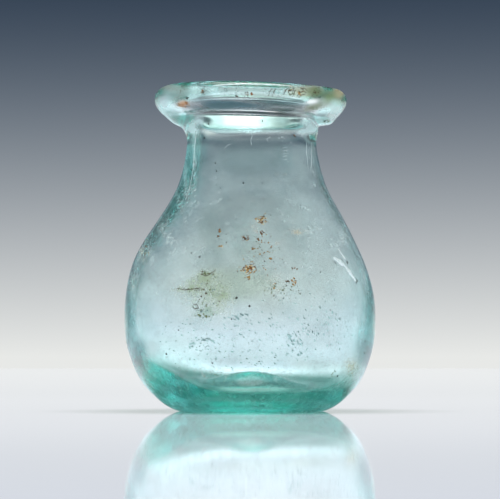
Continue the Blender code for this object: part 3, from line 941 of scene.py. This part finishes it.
def front_finder(glass):
    """A function that finds the point of the glass, and its normal, that is
    seen at a place in the picture."""
    bm = bmesh.new()
    bm.from_mesh(glass.data)
    tree = BVHTree.FromBMesh(bm)
    bm.free()
    turn = camera.rotation_euler.to_matrix()
    right, up, back = turn.col[0], turn.col[1], turn.col[2]

    def find(across, down):
        ray = (right * (across - 249.5) + up * (249.5 - down)) / LENS_STEPS - back
        hit, normal, index, distance = tree.ray_cast(camera.location, ray.normalized())
        return hit, normal

    return find


def side_finder(glass):
    """A function that finds the point of the glass, and its normal, that lies
    at an azimuth, from +X towards +Y, and a height in mm."""
    bm = bmesh.new()
    bm.from_mesh(glass.data)
    tree = BVHTree.FromBMesh(bm)
    bm.free()

    def find(azimuth, height):
        away = Vector((math.cos(azimuth), math.sin(azimuth), 0.0))
        start = away * 0.08 + Vector((0.0, 0.0, height * MM))
        hit, normal, index, distance = tree.ray_cast(start, -away)
        return hit, normal

    return find


def add_fleck(bm, layer, at, normal, half_w, half_h, rise, angle, ragged, shade, rng):
    """A low lump on the glass, sunk a little into it."""
    along_x = Vector((0.0, 0.0, 1.0)).cross(normal).normalized()
    along_z = normal.cross(along_x)
    c, k = math.cos(angle), math.sin(angle)
    axis_a, axis_b = along_x * c + along_z * k, along_z * c - along_x * k
    count = 7
    edge = [rng.uniform(1.0 - ragged, 1.0 + ragged) for _ in range(count)]
    rings = []
    for scale, lift in ((0.75, -0.6), (1.0, 0.1), (0.6, 0.85)):
        ring = []
        for i in range(count):
            a = 2.0 * math.pi * i / count
            offset = (axis_a * (math.cos(a) * half_w * edge[i] * scale)
                      + axis_b * (math.sin(a) * half_h * edge[i] * scale)
                      + normal * (rise * lift))
            ring.append(bm.verts.new(at + offset * MM))
        rings.append(ring)
    top = bm.verts.new(at + normal * rise * MM)
    foot = bm.verts.new(at - normal * rise * 0.8 * MM)
    for i in range(count):
        j = (i + 1) % count
        bm.faces.new((foot, rings[0][j], rings[0][i]))
        bm.faces.new((rings[0][i], rings[0][j], rings[1][j], rings[1][i]))
        bm.faces.new((rings[1][i], rings[1][j], rings[2][j], rings[2][i]))
        bm.faces.new((rings[2][i], rings[2][j], top))
    for vert in rings[0] + rings[1] + rings[2] + [top, foot]:
        tone = rng.uniform(0.8, 1.2)
        vert[layer] = tuple(min(v * tone, 1.0) for v in shade) + (1.0,)


def add_line(bm, layer, find, points, half, shade, rng, ragged=0.3, rise=0.5):
    """A thin closed thread laid on the glass through the given points."""
    dense = []
    for (u0, v0), (u1, v1) in zip(points, points[1:]):
        steps = max(int(math.hypot(u1 - u0, v1 - v0) / 1.2), 1)
        dense += [(u0 + (u1 - u0) * k / steps, v0 + (v1 - v0) * k / steps) for k in range(steps)]
    dense.append(points[-1])
    places = [find(u + rng.uniform(-0.2, 0.2), v) for u, v in dense]
    places = [p for p in places if p[0] is not None]
    if len(places) < 2:
        return
    count = 6
    rings = []
    for i, (at, normal) in enumerate(places):
        ahead = places[min(i + 1, len(places) - 1)][0] - places[max(i - 1, 0)][0]
        side = normal.cross(ahead).normalized()
        taper = 0.35 + 0.65 * math.sin(math.pi * (i + 0.5) / len(places)) ** 0.5
        width = half * taper * rng.uniform(1.0 - ragged, 1.0 + ragged)
        ring = []
        for k in range(count):
            a = 2.0 * math.pi * k / count
            ring.append(bm.verts.new(at + (side * math.cos(a) * width
                                           + normal * math.sin(a) * width * rise) * MM))
        rings.append(ring)
    for low, high in zip(rings, rings[1:]):
        for k in range(count):
            j = (k + 1) % count
            bm.faces.new((low[k], high[k], high[j], low[j]))
    bm.faces.new(rings[0])
    bm.faces.new(rings[-1][::-1])
    for vert in (v for ring in rings for v in ring):
        vert[layer] = tuple(shade) + (1.0,)


def finish_marks(bm, name, material):
    bmesh.ops.recalc_face_normals(bm, faces=bm.faces[:])
    bmesh.ops.triangulate(bm, faces=bm.faces[:])
    mesh = bpy.data.meshes.new(name)
    bm.to_mesh(mesh)
    bm.free()
    mesh.shade_smooth()
    mesh.materials.append(material)
    piece = bpy.data.objects.new(name, mesh)
    scene.collection.objects.link(piece)
    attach(piece, "root")
    return piece


def make_marks(glass):
    find = front_finder(glass)
    find_round = side_finder(glass)
    rng = random.Random(41)
    bm = bmesh.new()
    layer = bm.verts.layers.float_color.new("shade")
    for across, down, half_w, half_h, number, size, shades in CLUSTERS:
        for _ in range(number):
            a, d = rng.uniform(0.0, 2.0 * math.pi), math.sqrt(rng.random())
            at, normal = find(across + half_w * d * math.cos(a), down + half_h * d * math.sin(a))
            if at is None:
                continue
            grow = size * rng.uniform(0.6, 1.7) * (1.2 - 0.6 * d)
            add_fleck(bm, layer, at, normal, grow, grow * rng.uniform(0.5, 1.0), 0.05,
                      rng.uniform(0.0, math.pi), 0.35, rng.choice(shades), rng)
    for across, down, size in DOTS:
        at, normal = find(across, down)
        if at is not None:
            add_fleck(bm, layer, at, normal, 1.2 * size, size, 0.05, 0.0, 0.25, DARK, rng)
    for across, down, half_w, half_h, number, size in SEEDS:
        for _ in range(number):
            a, d = rng.uniform(0.0, 2.0 * math.pi), math.sqrt(rng.random())
            u, v = across + half_w * d * math.cos(a), down + half_h * d * math.sin(a)
            at, normal = find(u, v)
            if at is None:
                continue
            grow = size * rng.uniform(0.6, 1.4)
            tone = rng.uniform(1.1, 2.9)
            tilt = -0.5 - 0.9 * (u - 250.0) / 110.0 + rng.uniform(-0.5, 0.5)
            add_fleck(bm, layer, at, normal, grow * 1.5, grow * rng.uniform(0.4, 0.8), 0.03,
                      tilt, 0.25, tuple(v * tone for v in SLATE), rng)
    for across, down, half_w, half_h, number, size in DASHES:
        for _ in range(number):
            a, d = rng.uniform(0.0, 2.0 * math.pi), math.sqrt(rng.random())
            at, normal = find(across + half_w * d * math.cos(a), down + half_h * d * math.sin(a))
            if at is None:
                continue
            grow = size * rng.uniform(0.6, 1.4)
            add_fleck(bm, layer, at, normal, grow * 1.8, grow * 0.5, 0.02,
                      0.6 + rng.uniform(-0.9, 0.9), 0.25, (0.80, 0.92, 0.92), rng)
    for points in STROKES:
        add_line(bm, layer, find, points, 0.075, (0.06, 0.035, 0.018), rng)
    for azimuth, height, spread, number, size, shades in HIDDEN:
        for _ in range(number):
            turn = math.radians(azimuth + spread * rng.uniform(-1.0, 1.0))
            level = height + 0.22 * spread * rng.uniform(-1.0, 1.0)
            at, normal = find_round(turn, max(level, 4.0))
            if at is None:
                continue
            grow = size * rng.uniform(0.6, 1.6)
            add_fleck(bm, layer, at, normal, grow, grow * rng.uniform(0.5, 1.0), 0.05,
                      rng.uniform(0.0, math.pi), 0.35, rng.choice(shades), rng)
    finish_marks(bm, "deposit_flecks", earth_material())

    bm = bmesh.new()
    layer = bm.verts.layers.float_color.new("shade")
    for points, half in SCAR_AND_HIGHLIGHT_LINES:
        add_line(bm, layer, find, points, half, (1.0, 1.0, 1.0), rng, 0.45, 0.28)
    finish_marks(bm, "scars_and_painted_highlights", scar_and_highlight_material())


# ---- stage ----------------------------------------------------------------

def make_floor():
    mesh = bpy.data.meshes.new("table")
    bm = bmesh.new()
    bmesh.ops.create_circle(bm, cap_ends=True, radius=2.0, segments=96)
    bm.to_mesh(mesh)
    bm.free()
    table = bpy.data.objects.new("table", mesh)
    scene.collection.objects.link(table)
    table.location.z = -0.00002
    mesh.materials.append(floor_material())
    return table


def make_world():
    world = bpy.data.worlds.new("studio")
    scene.world = world
    world.use_nodes = True
    tree = world.node_tree
    tree.nodes.clear()

    def node(kind, **values):
        made = tree.nodes.new(kind)
        for key, value in values.items():
            setattr(made, key, value)
        return made

    def math_node(operation, a, b=None, clamp=False):
        made = node("ShaderNodeMath", operation=operation, use_clamp=clamp)
        for socket, value in zip(made.inputs, (a, b)):
            if value is None:
                continue
            if isinstance(value, (int, float)):
                socket.default_value = value
            else:
                tree.links.new(value, socket)
        return made.outputs[0]

    where = node("ShaderNodeTexCoord")
    split = node("ShaderNodeSeparateXYZ")
    tree.links.new(where.outputs["Generated"], split.inputs[0])
    x, y, z = split.outputs

    def ramp(value, low, high, kind="SMOOTHSTEP"):
        made = node("ShaderNodeMapRange", interpolation_type=kind)
        tree.links.new(value, made.inputs["Value"])
        made.inputs["From Min"].default_value = low
        made.inputs["From Max"].default_value = high
        return made.outputs["Result"]

    def blend(share, a, b):
        made = node("ShaderNodeMix", data_type="RGBA")
        tree.links.new(share, made.inputs["Factor"])
        for socket, value in ((made.inputs["A"], a), (made.inputs["B"], b)):
            if isinstance(value, tuple):
                socket.default_value = value + (1.0,)
            else:
                tree.links.new(value, socket)
        return made.outputs["Result"]

    # a pale sweep: white at the horizon, slate from 7 degrees up
    rise = ramp(z, 0.0, SWEEP_TOP, "LINEAR")
    bow = math_node("MULTIPLY", math_node("POWER", rise, 3.0), math_node("SUBTRACT", 1.0, rise))
    fade = blend(math_node("ADD", rise, math_node("MULTIPLY", bow, 0.32)), SWEEP_PALE, SWEEP_DARK)
    gamma = node("ShaderNodeGamma")
    gamma.inputs["Gamma"].default_value = 2.2
    tree.links.new(fade, gamma.inputs["Color"])

    # four such panels stand round the table, with the dim room between them
    azimuth = math_node("ARCTAN2", x, y)
    beat = math_node("COSINE", math_node("MULTIPLY", azimuth, 4.0))
    panel = ramp(beat, PANEL_EDGE[0], PANEL_EDGE[1])
    room = blend(ramp(z, 0.0, 0.16), ROOM_LOW, ROOM_HIGH)
    around = blend(panel, room, gamma.outputs["Color"])
    above = blend(ramp(z, 0.122, 0.165), around, MID_SKY)
    above = blend(ramp(z, 0.21, 0.28), above, CEILING)
    screen = math_node("MULTIPLY", ramp(z, *FRONT_LOW), ramp(z, FRONT_HIGH[1], FRONT_HIGH[0]))
    screen = math_node("MULTIPLY", screen, ramp(y, *FRONT_SIDE))
    above = blend(screen, above, FRONT_SKY)

    # a soft box overhead
    near_box = node("ShaderNodeVectorMath", operation="DOT_PRODUCT")
    tree.links.new(where.outputs["Generated"], near_box.inputs[0])
    near_box.inputs[1].default_value = BOX_AT
    sky = blend(ramp(near_box.outputs["Value"], BOX_EDGE[0], BOX_EDGE[1]), above, BOX_LIGHT)
    sky = blend(ramp(near_box.outputs["Value"], LAMP_EDGE[0], LAMP_EDGE[1]), sky, LAMP_LIGHT)

    back = node("ShaderNodeBackground")
    tree.links.new(sky, back.inputs["Color"])
    back.inputs["Strength"].default_value = 1.0
    out = node("ShaderNodeOutputWorld")
    tree.links.new(back.outputs["Background"], out.inputs["Surface"])


# ---- build ----------------------------------------------------------------

low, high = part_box("glass_jar")
frame_box_mid = (0.5 * (low[0] + high[0]) / MM, 0.5 * (low[1] + high[1]) / MM)

make_floor()
make_world()

glass = make_glass()
glass.data.materials.append(glass_material())
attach(glass, "root")
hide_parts("glass_jar")
make_marks(glass)
